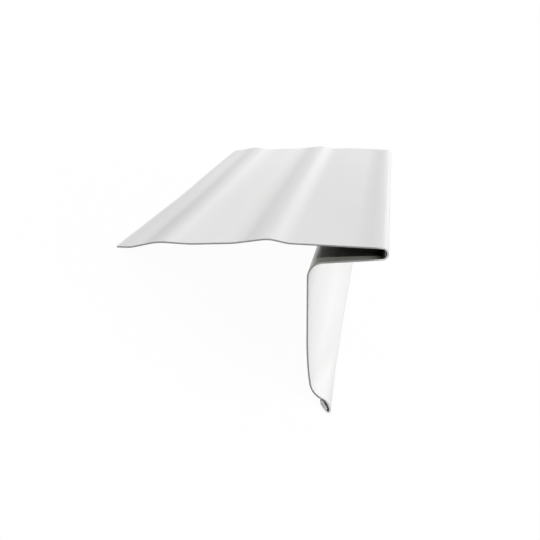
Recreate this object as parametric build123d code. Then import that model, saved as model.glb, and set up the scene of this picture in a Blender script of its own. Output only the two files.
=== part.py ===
from build123d import *
from math import asin, atan2, copysign, degrees, sqrt
import os

# Drip edge: one strip of coated aluminium sheet, rolled to a constant section and cut to length.
# The section is drawn as it hangs on a roof edge, x towards the gutter and y up, and is then turned
# so that the piece stands unheld on a floor, on its lip and its hem. Millimetres and degrees.

# Strip
length = 304.8
sheet = 0.7

# Lip, the free edge of the nailing flange
lip_width = 3.5
lip_slope = -1.0

# Back rib, the steep step up from the lip and its long fall
back_rib_rise_slope = 13.0
back_rib_rise_width = 6.0
back_rib_fall_slope = -2.5
back_rib_fall_width = 8.0
back_rib_crest_radius = 20.0
back_rib_foot_radius = 14.0

# Nailing pan, the flat between the two ribs that is nailed to the roof deck
nailing_pan_width = 12.5
nailing_pan_slope = 2.5
nailing_pan_edge_radius = 40.0

# Front rib, a long rise and a short steep fall
front_rib_rise_slope = 8.5
front_rib_rise_width = 8.6
front_rib_fall_slope = -12.0
front_rib_fall_width = 3.8
front_rib_crest_radius = 14.0
front_rib_foot_radius = 14.0

# Nose, the folded edge that stands out past the face
overhang_width = 33.5
overhang_slope = -1.75
nose_inside_radius = 1.75
return_slope = -175.3
return_width = 22.15

# Face, which hangs in front of the fascia board
shoulder_inside_radius = 5.5
face_flat_height = 24.1
face_slope = -89.85
flare_radius = 130.0
flare_slope = -82.4
kick_inside_radius = 7.7
kick_slope = -23.6

# Hem, closed to a lens, with the raw edge tucked inside
hem_radius = 4.85
hem_slope = -91.75
hem_fold_inside_radius = 0.22
hem_return_radius = 9.5
hem_mouth_angle = 57.0
hem_mouth_gap = 0.1
tuck_fold_inside_radius = 0.15
tuck_closing_angle = 4.4
tuck_setback = 0.7


class Strip:
    """Section of a bent strip, laid along its middle line as flats and tangent bends."""

    def __init__(self, heading, thickness):
        self.point = Vector(0, 0)
        self.heading = heading
        self.half = thickness / 2
        self.edges = {1: [], -1: []}
        self.caps = [self.cap()]

    def along(self):
        return Vector(1, 0).rotate(Axis.Z, self.heading)

    def across(self):
        return Vector(1, 0).rotate(Axis.Z, self.heading + 90)

    def surface(self, side):
        """Point on the left side (1) or the right side (-1) at the strip's present end."""
        return self.point + self.across() * (side * self.half)

    def cap(self):
        return Line(self.surface(1), self.surface(-1))

    def flat(self, width):
        step = self.along() * width
        for side, edges in self.edges.items():
            edges.append(Line(self.surface(side), self.surface(side) + step))
        self.point += step

    def bend(self, radius, heading):
        """Turn to a new heading on a middle radius, and give the bend's centre."""
        turn = heading - self.heading
        inner_side = copysign(1, turn)
        centre = self.point + self.across() * (inner_side * radius)
        for side, edges in self.edges.items():
            side_radius = radius - side * inner_side * self.half
            edges.append(JernArc(self.surface(side), self.along(), side_radius, turn))
        self.point = centre + (self.point - centre).rotate(Axis.Z, turn)
        self.heading = heading
        return centre

    def fold(self, radius, outward):
        """Turn to the right until the left side faces along a direction, on a middle radius."""
        heading = degrees(atan2(outward.Y, outward.X)) - 90
        self.bend(radius, self.heading + (heading - self.heading) % -360)

    def face(self):
        self.caps.append(self.cap())
        return make_face(self.edges[1] + self.edges[-1] + self.caps)


def draw_nailing_flange(strip):
    strip.flat(lip_width)
    strip.bend(back_rib_foot_radius, back_rib_rise_slope)
    strip.flat(back_rib_rise_width)
    strip.bend(back_rib_crest_radius, back_rib_fall_slope)
    strip.flat(back_rib_fall_width)
    strip.bend(nailing_pan_edge_radius, nailing_pan_slope)
    strip.flat(nailing_pan_width)
    strip.bend(nailing_pan_edge_radius, front_rib_rise_slope)
    strip.flat(front_rib_rise_width)
    strip.bend(front_rib_crest_radius, front_rib_fall_slope)
    strip.flat(front_rib_fall_width)
    strip.bend(front_rib_foot_radius, overhang_slope)


def draw_nose(strip):
    strip.flat(overhang_width)
    strip.bend(nose_inside_radius + sheet / 2, return_slope)
    strip.flat(return_width)


def draw_hanging_face(strip):
    strip.bend(shoulder_inside_radius + sheet / 2, face_slope)
    strip.flat(face_flat_height)
    strip.bend(flare_radius, flare_slope)
    strip.bend(kick_inside_radius + sheet / 2, kick_slope)


def arch_centre(first, first_radius, last, last_radius, radius):
    """Centre of the arc that runs round two circles from the first to the last, touching both."""
    reach = last - first
    first_side = radius - first_radius
    last_side = radius - last_radius
    along = (first_side**2 - last_side**2 + reach.length**2) / (2 * reach.length)
    across = sqrt(first_side**2 - along**2)
    forward = reach.normalized()
    return first + forward * along + forward.rotate(Axis.Z, -90) * across


def draw_hem(strip):
    """Fold the edge back under the kick and tuck it in; gives the bottom fold's centre and outer radius."""
    fold_radius = hem_fold_inside_radius + sheet / 2
    tuck_fold_radius = tuck_fold_inside_radius + sheet / 2
    hem_centre = strip.bend(hem_radius, hem_slope)
    bottom_fold = strip.point - strip.across() * fold_radius
    top_fold_reach = hem_radius - sheet - hem_mouth_gap - tuck_fold_radius
    top_fold = hem_centre + Vector(top_fold_reach, 0).rotate(Axis.Z, hem_mouth_angle)
    arch = arch_centre(bottom_fold, fold_radius, top_fold, tuck_fold_radius, hem_return_radius)
    strip.fold(fold_radius, bottom_fold - arch)
    return_start = strip.heading
    strip.fold(hem_return_radius, top_fold - arch)
    return_turn = return_start - strip.heading
    strip.bend(tuck_fold_radius, strip.heading - 180 - tuck_closing_angle)
    tuck_radius = hem_return_radius - 2 * tuck_fold_radius
    strip.bend(tuck_radius, strip.heading + return_turn - degrees(tuck_setback / tuck_radius))
    return bottom_fold, fold_radius + sheet / 2


def standing_turn(lip_corner, fold_centre, fold_radius):
    """Angle that lays the lip's lower corner and the bottom fold on one level floor."""
    reach = fold_centre - lip_corner
    floor_slope = atan2(reach.Y, reach.X) - asin(fold_radius / reach.length)
    return -degrees(floor_slope)


strip = Strip(lip_slope, sheet)
lip_corner = strip.surface(-1)
draw_nailing_flange(strip)
draw_nose(strip)
draw_hanging_face(strip)
bottom_fold, bottom_fold_radius = draw_hem(strip)

hung = extrude(Plane.XZ * strip.face(), amount=length / 2, both=True)
standing = hung.rotate(Axis.Y, -standing_turn(lip_corner, bottom_fold, bottom_fold_radius))
box = standing.bounding_box()
drip_edge = standing.translate((-box.center().X, -box.center().Y, -box.min.Z))

os.makedirs("parts", exist_ok=True)
export_step(drip_edge, "parts/drip_edge.step")
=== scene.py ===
import bpy
import numpy as np
from math import radians, pi
from mathutils import Matrix, Vector


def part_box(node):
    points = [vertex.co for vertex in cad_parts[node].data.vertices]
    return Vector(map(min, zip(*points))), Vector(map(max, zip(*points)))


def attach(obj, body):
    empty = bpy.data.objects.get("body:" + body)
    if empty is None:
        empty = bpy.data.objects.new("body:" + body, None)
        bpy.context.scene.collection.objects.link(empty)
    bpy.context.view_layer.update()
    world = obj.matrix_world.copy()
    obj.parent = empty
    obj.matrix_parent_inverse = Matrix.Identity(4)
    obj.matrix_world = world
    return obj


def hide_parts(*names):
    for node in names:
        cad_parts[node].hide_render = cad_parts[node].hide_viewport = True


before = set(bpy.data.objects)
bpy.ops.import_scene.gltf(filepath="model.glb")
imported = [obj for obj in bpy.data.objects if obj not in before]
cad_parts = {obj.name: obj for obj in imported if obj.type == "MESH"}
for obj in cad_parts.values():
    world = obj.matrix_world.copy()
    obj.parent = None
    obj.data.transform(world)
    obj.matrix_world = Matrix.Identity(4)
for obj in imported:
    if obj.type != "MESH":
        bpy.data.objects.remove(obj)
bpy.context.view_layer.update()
print("frame loaded:", sorted(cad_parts))

mm = 0.001
scene = bpy.context.scene
scene.view_settings.view_transform = "Standard"


# the section as it hangs on a roof edge, along the sheet's middle: mm for flats and radii, degrees up
# from level for headings
strip = {
    "sheet": 0.7,
    "startHeading": -1.0,
    "lip": 3.5,
    "backRib": {"foot": 14.0, "rise": 6.0, "riseAt": 13.0, "crest": 20.0, "fall": 8.0, "fallAt": -2.5},
    "nailingPan": {"edge": 40.0, "width": 12.5, "at": 2.5},
    "frontRib": {"foot": 14.0, "rise": 8.6, "riseAt": 8.5, "crest": 14.0, "fall": 3.8, "fallAt": -12.0},
    "overhang": {"width": 33.5, "at": -1.75},
    "nose": {"inside": 1.75},
    "underside": {"width": 22.15, "at": -175.3},
    "face": {"shoulder": 5.5, "height": 24.1, "at": -89.85, "flare": 130.0, "flareTo": -82.4},
    "kick": {"inside": 7.7, "to": -23.6},
    # the hem closes as the solid's does, with its raw edge tucked a little closer to the return
    "hem": {"radius": 4.85, "to": -91.75, "fold": 0.57, "foldTo": -221.438, "back": 9.5, "backTo": -246.515},
    "tuck": {"fold": 0.39, "foldTo": -430.915, "radius": 8.72, "to": -410.556},
    "standAt": 37.984,       # turn that puts lip and hem on the floor
    "edgeRound": 0.09,       # shear roll-over on every cut edge
    "edgePoints": 5,         # stations round the roll-over at the lip and the tucked edge
    "endPoints": 4,          # the same at the cut ends
    "fineSteps": 60000,      # steps in which the heading is summed up
    "flatStep": 1.3,         # widest step across the sheet
    "bendStep": 6.0,         # most degrees a step may turn
    "alongStep": 3.6,        # step along the length
}

# how the cut length strays from the straight section, in mm
springs = {
    "flare": {"by": 1.65, "reach": 60.0, "from": 137.0, "full": 178.0},  # face, sprung at the near end
    "lipBow": {"by": 0.85, "ends": 0.78, "fades": 45.0},     # lip, drawn in before mid length
    # mm from the lip and mm that the deck has sunk at the far end
    "ribSink": [(0, 0), (4, -0.4), (9, -0.8), (13, -0.4), (17, 0.4), (21, 0.9), (30, 0.4), (45, 0.3),
                (55, 0.7), (64, 0.9), (74, 0), (84, -0.2), (98, 0)],
}

# shading leans and painted light and shade for the sheet; places are mm from the lip along the sheet
shadingMarks = {
    # rolled sheet is never quite flat: place and degrees that the shading leans to the lip
    "lean": [(0.4, 0), (1.2, 13), (3.5, 13), (5.5, 4), (8, -6), (10, 2), (12.5, 18), (15, 17), (18.5, 4),
             (22, -10), (26, -5), (35, -5), (40, -9), (44.5, -6), (47, 3), (50, 17), (53.5, 8), (57, 0),
             (60, -18), (62, -12), (65, 0), (72, 2), (88.5, -1), (91.5, 12), (95.5, 19), (97.5, 9), (99, -6),
             (100.5, -24), (101.5, -12), (102.5, 12), (104, 22), (106, 0), (138, 0), (142, -6), (150, 0),
             (177, 0), (181, -8), (186.4, -26), (189.5, -15), (192.5, 0)],
    "leanStep": 0.05,
    "leanEase": 2.05,                                        # the lean's corners are rounded over this width
    "leanDrift": {"by": 1.4, "full": 22.0, "fades": 40.0},   # its places wander to the lip by the far end
    # place and share of painted light that leaves the enamel paler (up to 1) or painted shade that leaves it
    # darker (down to -1)
    "paintedLight": [(7, 0), (10, -0.2), (12.5, -0.5), (15.5, -0.5), (18.5, 0), (21, 0.7), (24, 0.35), (28, 0.1),
             (40, 0.25), (46, 0), (49.5, -0.45), (53, -0.45), (57, -0.1), (59, 0.4), (61, 1), (63, 0.6),
             (66.5, 0), (97, 0), (98.5, -0.4), (100, 0.1), (101.2, 0.6), (102.2, 0), (137, 0), (139.5, 1),
             (146, 1), (152, 0.6), (158, 0.2), (163, 0)],
    "tightTurn": (0.22, 0.42),               # radians per mm from which the enamel takes painted shade, and fully so
    "tightEase": 3.0,                        # mm over which that comes and goes
    "noseInside": (98.0, 99.5, 107.0, 111.0),    # painted shade inside the nose, and a paler cut edge there: begins, full, full, ends
    "hemInside": (12.5, 14.5),               # the same for the hem, in mm from the tucked edge: full, ends
}


# runs of the section in order from the lip to the tucked edge, each with its length and its last heading
def sectionRuns(p):
    half = p["sheet"] / 2
    back, pan, front = p["backRib"], p["nailingPan"], p["frontRib"]
    over, under, face = p["overhang"], p["underside"], p["face"]
    kick, hem, tuck = p["kick"], p["hem"], p["tuck"]
    steps = [
        ("flat", p["lip"]),
        ("bend", back["foot"], back["riseAt"]), ("flat", back["rise"]),
        ("bend", back["crest"], back["fallAt"]), ("flat", back["fall"]),
        ("bend", pan["edge"], pan["at"]), ("flat", pan["width"]),
        ("bend", pan["edge"], front["riseAt"]), ("flat", front["rise"]),
        ("bend", front["crest"], front["fallAt"]), ("flat", front["fall"]),
        ("bend", front["foot"], over["at"]), ("flat", over["width"]),
        ("bend", p["nose"]["inside"] + half, under["at"]), ("flat", under["width"]),
        ("bend", face["shoulder"] + half, face["at"]), ("flat", face["height"]),
        ("bend", face["flare"], face["flareTo"]),
        ("bend", kick["inside"] + half, kick["to"]),
        ("bend", hem["radius"], hem["to"]),
        ("bend", hem["fold"], hem["foldTo"]), ("bend", hem["back"], hem["backTo"]),
        ("bend", tuck["fold"], tuck["foldTo"]), ("bend", tuck["radius"], tuck["to"]),
    ]
    heading, runs = p["startHeading"], []
    for step in steps:
        if step[0] == "flat":
            runs.append((step[1], heading))
        else:
            runs.append((step[1] * radians(abs(step[2] - heading)), step[2]))
            heading = step[2]
    return runs


# running integral from 0: the mean of two neighbours times the step, summed up
def runningSum(values, step):
    return np.concatenate([[0], np.cumsum((values[1:] + values[:-1]) * step / 2)])


# moving average under a raised cosine of the given width
def ease(values, step, width):
    window = np.hanning(round(width / step))
    return np.convolve(values, window / window.sum(), "same")


# distances from an edge that step evenly round a quarter circle
def roundStations(r, count):
    return r * (1 - np.cos(np.linspace(0, pi / 2, count)))


# how far a quarter round has taken the surface in at a distance from the edge
def roundInset(distance, r):
    return r - np.sqrt(np.maximum(r * r - (r - np.minimum(distance, r)) ** 2, 0))


# heading is piecewise linear in the distance s along the sheet, and the middle line is the running
# integral of (cos heading, sin heading); stations crowd where the heading turns fast
def sectionLine(p, tightEase):
    lengths, lastHeadings = np.transpose(sectionRuns(p))
    knots = np.concatenate([[0], np.cumsum(lengths)])
    headings = np.radians(np.concatenate([[p["startHeading"]], lastHeadings]))
    width, r = knots[-1], p["edgeRound"]
    s = np.linspace(0, width, p["fineSteps"] + 1)
    ds = s[1] - s[0]
    h = np.interp(s, knots, headings)
    turnRate = np.abs(np.gradient(h, ds))
    pace = runningSum(np.maximum(1 / p["flatStep"], turnRate / radians(p["bendStep"])), ds)
    inner = np.interp(np.linspace(0, pace[-1], int(pace[-1]) + 1), pace, s)
    inner = inner[(inner > 2 * r) & (inner < width - 2 * r)]
    corner = roundStations(r, p["edgePoints"])
    stations = np.concatenate([corner, [2 * r], inner, [width - 2 * r], width - corner[::-1]])
    values = {"x": runningSum(np.cos(h), ds), "y": runningSum(np.sin(h), ds), "h": h,
              "turn": ease(turnRate, ds, tightEase)}
    line = {name: np.interp(stations, s, fine) for name, fine in values.items()}
    return {"s": stations, "width": width, **line}


# the section's middle and normal turned to stand on lip and hem, and moved, or shrunk where it must be, into
# the CAD box
def standSection(p, line, low, high):
    turn = radians(p["standAt"])
    spin = np.array([[np.cos(turn), np.sin(turn)], [-np.sin(turn), np.cos(turn)]])
    middle = np.stack([line["x"], line["y"]], -1) @ spin
    normal = np.stack([-np.sin(line["h"]), np.cos(line["h"])], -1) @ spin
    outline = np.concatenate([middle + normal * p["sheet"] / 2, middle - normal * p["sheet"] / 2])
    least, most = outline.min(0), outline.max(0)
    room = np.array([high.x - low.x, high.z - low.z]) / mm
    fit = min(1, *(room / (most - least)))
    foot = np.array([(least[0] + most[0]) / 2, least[1]]) * fit
    place = np.array([(low.x + high.x) / 2, low.z]) / mm
    return middle * fit - foot + place, normal, fit


# the face comes in along the floor by 1 - exp(-distance from the near end / reach), the lip bows in and up by
# the squared sine of the way along, and the ribs flatten with the square of the way to the far end
def endSprings(p, s, turn, along, way):
    face, lip = p["flare"], p["lipBow"]
    drawn = np.outer(np.interp(s, [face["from"], face["full"]], [0, face["by"]]),
                     1 - np.exp(-(along - along[0]) / face["reach"]))
    bow = np.outer(np.interp(s, [0, lip["fades"]], [lip["by"], 0]),
                   np.sin(pi * np.minimum(way / lip["ends"], 1)) ** 2)
    sink = np.outer(np.interp(s, *np.transpose(p["ribSink"])), way ** 2)
    return np.stack([bow * np.cos(turn) + sink * np.sin(turn) - drawn,
                     bow * np.sin(turn) - sink * np.cos(turn)], -1)


# quads between two rows of points, or between the neighbours in two stacks of rows
def band(first, last):
    return np.stack([first[..., :-1], first[..., 1:], last[..., 1:], last[..., :-1]], -1).reshape(-1, 4)


# faces of the painted side, of the back and of the four cut edges, all pointing out, and the finish of each
def sheetFaces(n, m):
    top = np.arange(n * m).reshape(n, m)
    back = top + n * m
    painted, backed = band(top[1:], top[:-1]), band(back[:-1], back[1:])
    cut = np.concatenate([band(back[:, 0], top[:, 0]), band(top[:, -1], back[:, -1]),
                          band(back[0], top[0]), band(top[-1], back[-1])])
    finish = np.repeat([0, 1, 2], [len(painted), len(backed), len(cut)])
    return np.concatenate([painted, backed, cut]), finish.astype(np.int32)


def pointValues(mesh, name, values):
    mesh.attributes.new(name, "FLOAT", "POINT").data.foreach_set("value", values.astype(np.float32))


# what the materials read: 0 on the painted side and 1 on the back, and the painted light and shade masks
# along the section
def markSheet(mesh, p, line, m):
    s = line["s"]
    hem = np.interp(line["width"] - s, p["hemInside"], [1, 0])
    nose = np.interp(s, p["noseInside"], [0, 1, 1, 0])
    marks = {"foldInside": np.maximum(hem, nose), "paintedShading": np.interp(s, *np.transpose(p["paintedLight"])),
             "tightBend": np.interp(line["turn"], p["tightTurn"], [0, 1])}
    pointValues(mesh, "sheetDepth", np.repeat([0, 1], len(s) * m))
    for name, values in marks.items():
        pointValues(mesh, name, np.tile(np.repeat(values, m), 2))


# the painted side's normals turn about the strip's length by a smooth curve through the lean's places, which
# drift to the lip in step with the way to the far end
def leanNormals(mesh, p, line, way):
    fine = np.arange(0, line["width"], p["leanStep"])
    wave = ease(np.interp(fine, *np.transpose(p["lean"])), p["leanStep"], p["leanEase"])
    drift = p["leanDrift"]
    shift = np.outer(np.interp(line["s"], [drift["full"], drift["fades"]], [drift["by"], 0]), way)
    lean = np.radians(np.interp(line["s"][:, None] + shift, fine, wave)).ravel()
    lean = np.concatenate([lean, np.zeros(len(lean))])
    normals = np.empty(len(mesh.vertices) * 3)
    mesh.vertex_normals.foreach_get("vector", normals)
    nx, ny, nz = normals.reshape(-1, 3).T
    turned = [nx * np.cos(lean) - nz * np.sin(lean), ny, nx * np.sin(lean) + nz * np.cos(lean)]
    mesh.normals_split_custom_set_from_vertices(np.stack(turned, -1).tolist())


# the sheet: for each station s of the section and y of the length, the middle point plus or minus
# the section's normal times half the thickness, which dies away in a quarter round at every cut edge
def makeStrip(p, strays, marks):
    line = sectionLine(p, marks["tightEase"])
    s, r = line["s"], p["edgeRound"]
    low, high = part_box("drip_edge")
    middle, normal, fit = standSection(p, line, low, high)
    halfLength = (high.y - low.y) / mm / 2
    corner = roundStations(r, p["endPoints"])
    body = np.linspace(-halfLength + 3 * r, halfLength - 3 * r, int(2 * halfLength / p["alongStep"]))
    along = np.concatenate([-halfLength + corner, body, halfLength - corner[::-1]])
    way = (along + halfLength) / (2 * halfLength)
    half = p["sheet"] / 2 - roundInset(np.minimum(s, line["width"] - s), r)[:, None]
    half = (half - roundInset(halfLength - np.abs(along), r)) * fit
    middle = middle[:, None] + endSprings(strays, s, radians(p["standAt"]), along, way)
    out = normal[:, None] * half[..., None]
    xz = np.stack([middle + out, middle - out]).reshape(-1, 2)
    points = np.stack([xz[:, 0], np.tile(along, 2 * len(s)), xz[:, 1]], -1) * mm
    faces, finish = sheetFaces(len(s), len(along))
    mesh = bpy.data.meshes.new("drip_edge_strip")
    mesh.from_pydata(points.tolist(), [], faces.tolist())
    mesh.polygons.foreach_set("material_index", finish)
    mesh.polygons.foreach_set("use_smooth", np.ones(len(faces), bool))
    markSheet(mesh, marks, line, len(along))
    mesh.update()
    leanNormals(mesh, marks, line, way)
    piece = bpy.data.objects.new("drip_edge_strip", mesh)
    scene.collection.objects.link(piece)
    print("strip:", len(points), "points,", 2 * len(faces), "triangles")
    print("flat width:", round(line["width"], 1), "mm")
    return piece


# short helpers for node trees
def newMaterial(name):
    material = bpy.data.materials.new(name)
    material.use_nodes = True
    tree = material.node_tree
    return material, tree, tree.nodes["Principled BSDF"]


def addNode(tree, kind, **values):
    node = tree.nodes.new(kind)
    for key, value in values.items():
        if key in node.inputs:
            node.inputs[key].default_value = value
        else:
            setattr(node, key, value)
    return node


# the coordinate times a factor for each axis
def scaled(tree, coordinate, factors):
    place = addNode(tree, "ShaderNodeTexCoord")
    node = addNode(tree, "ShaderNodeVectorMath", operation="MULTIPLY")
    node.inputs[1].default_value = factors
    tree.links.new(place.outputs[coordinate], node.inputs[0])
    return node.outputs[0]


# noise in the piece's own place, its grain stretched by the given waves per metre in X, Y and Z
def grain(tree, waves, detail):
    noise = addNode(tree, "ShaderNodeTexNoise", Scale=1.0, Detail=detail, Roughness=0.55)
    tree.links.new(scaled(tree, "Object", waves), noise.inputs["Vector"])
    return noise.outputs["Fac"]


def attribute(tree, name):
    return addNode(tree, "ShaderNodeAttribute", attribute_name=name).outputs["Fac"]


# a change from one value to another as the factor goes from low to high
def between(tree, factor, low, high, first, last, blend="LINEAR"):
    node = addNode(tree, "ShaderNodeMapRange", interpolation_type=blend)
    for socket, value in zip(("From Min", "From Max", "To Min", "To Max"), (low, high, first, last)):
        node.inputs[socket].default_value = value
    tree.links.new(factor, node.inputs["Value"])
    return node.outputs["Result"]


# the same over the levels that noise mostly takes
def overNoise(tree, noise, first=0.0, last=1.0):
    return between(tree, noise, 0.3, 0.7, first, last)


def mixColour(tree, factor, first, last):
    node = addNode(tree, "ShaderNodeMix", data_type="RGBA")
    for socket, value in ((node.inputs[6], first), (node.inputs[7], last)):
        if isinstance(value, tuple):
            socket.default_value = (*value, 1)
        else:
            tree.links.new(value, socket)
    tree.links.new(factor, node.inputs[0])
    return node.outputs[2]


def mixShader(tree, factor, first, last):
    node = addNode(tree, "ShaderNodeMixShader")
    for socket, value in zip(node.inputs, (factor, first, last)):
        tree.links.new(value, socket)
    return node.outputs[0]


def combine(tree, operation, first, last):
    node = addNode(tree, "ShaderNodeMath", operation=operation)
    for socket, value in zip(node.inputs, (first, last)):
        if isinstance(value, float):
            socket.default_value = value
        else:
            tree.links.new(value, socket)
    return node.outputs[0]


# bump layers, each a height and its depth in metres, one on the other
def bumps(tree, shader, *layers):
    normal = None
    for height, depth in layers:
        node = addNode(tree, "ShaderNodeBump", Strength=1.0, Distance=depth)
        tree.links.new(height, node.inputs["Height"])
        if normal:
            tree.links.new(normal, node.inputs["Normal"])
        normal = node.outputs["Normal"]
    tree.links.new(normal, shader.inputs["Normal"])


enamel = {
    "pale": (0.850, 0.853, 0.846), "deep": (0.832, 0.836, 0.829),    # faint cloud in the white
    "paintedLighter": (0.91, 0.913, 0.906), "paintedDarker": (0.79, 0.794, 0.787),   # painted light and painted shade across the section
    "bent": (0.73, 0.733, 0.725),                            # painted shade on tight bends
    "smooth": 0.45, "dull": 0.56, "bentDull": 0.12,          # roughness, and what a tight bend adds
    "gloss": 0.22,
    "cloudWaves": (32, 12, 32),
    "peelWaves": (850, 850, 850), "peelDepth": 3e-6,         # orange peel of baked paint
    "rollWaves": (420, 2.5, 420), "rollDepth": 4e-6,         # lines of the coating rolls
}


# satin white: faint cloud and roll lines in the white, painted shade and more roughness where the sheet is
# bent tight, and painted light and shade across the section over that
def whiteEnamel(p):
    material, tree, shader = newMaterial("whiteEnamel")
    lines, cloud = grain(tree, p["rollWaves"], 3.0), grain(tree, p["cloudWaves"], 2.0)
    bend, paintedLight = attribute(tree, "tightBend"), attribute(tree, "paintedShading")
    white = mixColour(tree, overNoise(tree, cloud), p["deep"], p["pale"])
    # painted shade where the sheet is bent tight
    white = mixColour(tree, bend, white, p["bent"])
    # painted shade (tone below 0) and painted light (tone above 0) across the section
    white = mixColour(tree, between(tree, paintedLight, -1.0, 0.0, 1.0, 0.0), white, p["paintedDarker"])
    white = mixColour(tree, between(tree, paintedLight, 0.0, 1.0, 0.0, 1.0), white, p["paintedLighter"])
    rough = overNoise(tree, lines, p["smooth"], p["dull"])
    rough = combine(tree, "ADD", rough, combine(tree, "MULTIPLY", bend, p["bentDull"]))
    tree.links.new(white, shader.inputs["Base Color"])
    tree.links.new(rough, shader.inputs["Roughness"])
    shader.inputs["Specular IOR Level"].default_value = p["gloss"]
    bumps(tree, shader, (lines, p["rollDepth"]), (grain(tree, p["peelWaves"], 1.0), p["peelDepth"]))
    return material


backCoat = {
    "pale": (0.345, 0.347, 0.312), "deep": (0.29, 0.292, 0.262),
    "folded": (0.03, 0.03, 0.028),                           # painted shade inside the nose and the hem
    "smooth": 0.14, "dull": 0.2,
    "gloss": 0.03,
    "washLevels": (0.35, 0.65),
    "cloudWaves": (45, 9, 45),
    "rollWaves": (700, 4, 700), "rollDepth": 8e-6,
    "speckWaves": (1500, 1500, 1500), "speckDepth": 2e-6,
}


# thin grey wash coat: the rolls leave it streaked along the strip, thinner in places, with painted shade
# inside the nose and the hem
def greyBackCoat(p):
    material, tree, shader = newMaterial("greyBackCoat")
    lines, cloud = grain(tree, p["rollWaves"], 4.0), grain(tree, p["cloudWaves"], 3.0)
    wash = combine(tree, "MULTIPLY", combine(tree, "ADD", lines, cloud), 0.5)
    coat = mixColour(tree, between(tree, wash, *p["washLevels"], 0.0, 1.0), p["deep"], p["pale"])
    # painted shade inside the nose and the hem
    coat = mixColour(tree, attribute(tree, "foldInside"), coat, p["folded"])
    tree.links.new(coat, shader.inputs["Base Color"])
    tree.links.new(overNoise(tree, cloud, p["smooth"], p["dull"]), shader.inputs["Roughness"])
    shader.inputs["Specular IOR Level"].default_value = p["gloss"]
    bumps(tree, shader, (lines, p["rollDepth"]), (grain(tree, p["speckWaves"], 1.0), p["speckDepth"]))
    return material


cutEdge = {
    "burnished": (0.31, 0.31, 0.305), "torn": (0.22, 0.22, 0.215),
    "folded": (0.5, 0.5, 0.495),                             # painted light: the edge drawn paler round the nose and the hem
    "burnishTo": 0.38,       # share of the thickness that the blade polished before the sheet tore
    "tearBlend": 0.1,        # half the share over which one turns into the other
    "tearWander": 0.12,      # how far the line between them wanders
    "smooth": 0.32, "rough": 0.6,
    "grainWaves": (2600, 2600, 2600), "grainDepth": 2e-5,
}


# bare aluminium: a bright sheared band under the paint, then a darker torn one, with painted light making it
# paler round the nose and the hem
def shearedEdge(p):
    material, tree, shader = newMaterial("shearedEdge")
    speck = grain(tree, p["grainWaves"], 2.0)
    wander = overNoise(tree, speck, -p["tearWander"], p["tearWander"])
    depth = combine(tree, "ADD", attribute(tree, "sheetDepth"), wander)
    torn = between(tree, depth, p["burnishTo"] - p["tearBlend"], p["burnishTo"] + p["tearBlend"], 0.0, 1.0)
    metal = mixColour(tree, torn, p["burnished"], p["torn"])
    # painted light: the cut edge paler round the nose and the hem
    metal = mixColour(tree, attribute(tree, "foldInside"), metal, p["folded"])
    tree.links.new(metal, shader.inputs["Base Color"])
    tree.links.new(between(tree, torn, 0.0, 1.0, p["smooth"], p["rough"]), shader.inputs["Roughness"])
    shader.inputs["Metallic"].default_value = 1.0
    bumps(tree, shader, (speck, p["grainDepth"]))
    return material


piece = makeStrip(strip, springs, shadingMarks)
for finish in (whiteEnamel(enamel), greyBackCoat(backCoat), shearedEdge(cutEdge)):
    piece.data.materials.append(finish)
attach(piece, "root")
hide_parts("drip_edge")
print("finishes:", [finish.name for finish in piece.data.materials])


studio = {
    "floorSize": 8.0,
    "floorBounce": (0.3, 0.3, 0.3),  # how much light the floor sends back up
    "floorWhite": 0.97,              # share of the floor round the strip that is plain white to the camera
    "paper": (0.9, 0.9, 0.9),        # the rest of it, which takes the shadow
    "shadowReach": (0.066, 0.22),    # metres out where the floor begins to whiten, and where it is all white
    "shadowShape": (1.0, 0.5, 0.0),  # that area is twice as long in Y, as the strip is long
    "ambient": (0.05, 0.58),         # the room's light from in front and from behind
    "ambientSpan": (-0.6, 0.6),      # where in Y of the direction one turns into the other
    # place and aim in metres, lamp's width and height, watts
    "lamps": {
        "rightBox": {"place": (0.5, 0.55, 0.5), "aim": (0, 0, 0.03), "size": (0.35, 0.35), "power": 1.75},
        "backBox": {"place": (0.299, 0.771, 0.899), "aim": (0, 0, 0.03), "size": (0.5, 0.5), "power": 5.2},
        "overheadStrip": {"place": (-0.254, 0.19, 0.171), "aim": (-0.094, 0.19, -0.034),
                          "size": (0.36, 0.14), "power": 0.23},
        "frontLamp": {"place": (-0.47, -1.01, 0.476), "aim": (0, 0, 0.03),
                      "size": (0.08, 0.08), "power": 6.4},
        "sideCard": {"place": (0.22, -0.075, 0.15), "aim": (0.03, -0.075, 0.03),
                     "size": (0.3, 0.08), "power": 0.187},
    },
}


# one factor for what the eye sees directly, in gloss or through glass
def seenRay(tree):
    path = addNode(tree, "ShaderNodeLightPath").outputs
    seen = combine(tree, "MAXIMUM", path["Is Camera Ray"], path["Is Glossy Ray"])
    return combine(tree, "MAXIMUM", seen, path["Is Transmission Ray"])


# pale to the lamps, and to the eye a white that lets a little shadow through round the strip
def paleFloor(p):
    material, tree, shader = newMaterial("paleFloor")
    shader.inputs["Base Color"].default_value = (*p["floorBounce"], 1)
    shader.inputs["Specular IOR Level"].default_value = 0.0
    paper = addNode(tree, "ShaderNodeBsdfDiffuse", Color=(*p["paper"], 1))
    white = addNode(tree, "ShaderNodeEmission", Strength=1.0)
    reach = addNode(tree, "ShaderNodeVectorMath", operation="LENGTH")
    tree.links.new(scaled(tree, "Object", p["shadowShape"]), reach.inputs[0])
    share = between(tree, reach.outputs["Value"], *p["shadowReach"], p["floorWhite"], 1.0, "SMOOTHSTEP")
    seen = mixShader(tree, share, paper.outputs[0], white.outputs[0])
    surface = mixShader(tree, seenRay(tree), shader.outputs[0], seen)
    tree.links.new(surface, tree.nodes["Material Output"].inputs["Surface"])
    return material


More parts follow.
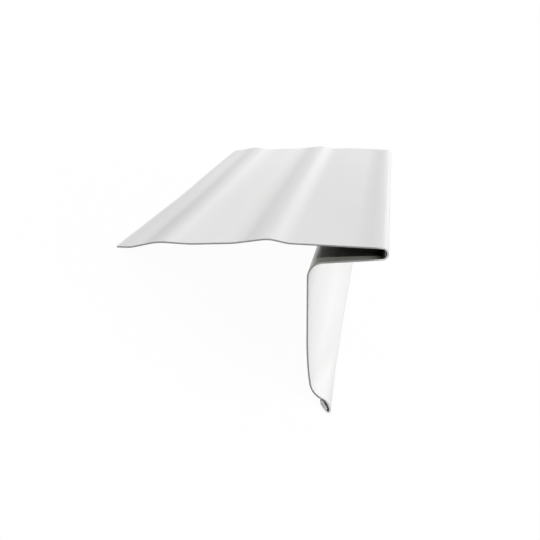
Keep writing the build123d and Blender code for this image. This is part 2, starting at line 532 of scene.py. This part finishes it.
def makeFloor(p):
    half = p["floorSize"] / 2
    corners = [(-half, -half, 0), (half, -half, 0), (half, half, 0), (-half, half, 0)]
    mesh = bpy.data.meshes.new("floor")
    mesh.from_pydata(corners, [], [(0, 1, 2, 3)])
    mesh.materials.append(paleFloor(p))
    floor = bpy.data.objects.new("floor", mesh)
    scene.collection.objects.link(floor)


# the world is plain white to the eye, and a soft light that grows from front to back to the strip
def lightRoom(p):
    world = bpy.data.worlds.new("room")
    scene.world = world
    world.use_nodes = True
    tree = world.node_tree
    dim = tree.nodes["Background"]
    dim.inputs["Color"].default_value = (1, 1, 1, 1)
    axes = addNode(tree, "ShaderNodeSeparateXYZ")
    tree.links.new(addNode(tree, "ShaderNodeTexCoord").outputs["Generated"], axes.inputs[0])
    ambient = between(tree, axes.outputs["Y"], *p["ambientSpan"], *p["ambient"])
    tree.links.new(ambient, dim.inputs["Strength"])
    white = addNode(tree, "ShaderNodeBackground", Color=(1, 1, 1, 1), Strength=1.0)
    surface = mixShader(tree, seenRay(tree), dim.outputs[0], white.outputs[0])
    tree.links.new(surface, tree.nodes["World Output"].inputs["Surface"])


def hangLamp(name, p):
    light = bpy.data.lights.new(name, "AREA")
    light.shape = "RECTANGLE"
    light.size, light.size_y = p["size"]
    light.energy = p["power"]
    lamp = bpy.data.objects.new(name, light)
    lamp.location = p["place"]
    lamp.rotation_euler = (Vector(p["aim"]) - Vector(p["place"])).to_track_quat("-Z", "Y").to_euler()
    scene.collection.objects.link(lamp)


makeFloor(studio)
lightRoom(studio)
for name, values in studio["lamps"].items():
    hangLamp(name, values)
print("floor and lamps in place")


camera = {
    "eye": (-0.02154, -0.53050, 0.12746),
    "down": 14.419,          # degrees below level
    "aside": 3.142,          # degrees right of straight along the strip
    "roll": 39.169,          # the strip stands on two edges, so the view leans with it
    "lens": 70.13,
    "sensor": 36.0,
}


def placeCamera(p):
    data = bpy.data.cameras.new("camera")
    data.lens = p["lens"]
    data.sensor_width = p["sensor"]
    eye = bpy.data.objects.new("camera", data)
    look = Matrix.Rotation(radians(-p["aside"]), 4, "Z") @ Matrix.Rotation(radians(90 - p["down"]), 4, "X")
    eye.matrix_world = Matrix.Translation(p["eye"]) @ look @ Matrix.Rotation(radians(p["roll"]), 4, "Z")
    scene.collection.objects.link(eye)
    scene.camera = eye


placeCamera(camera)
print("camera set")
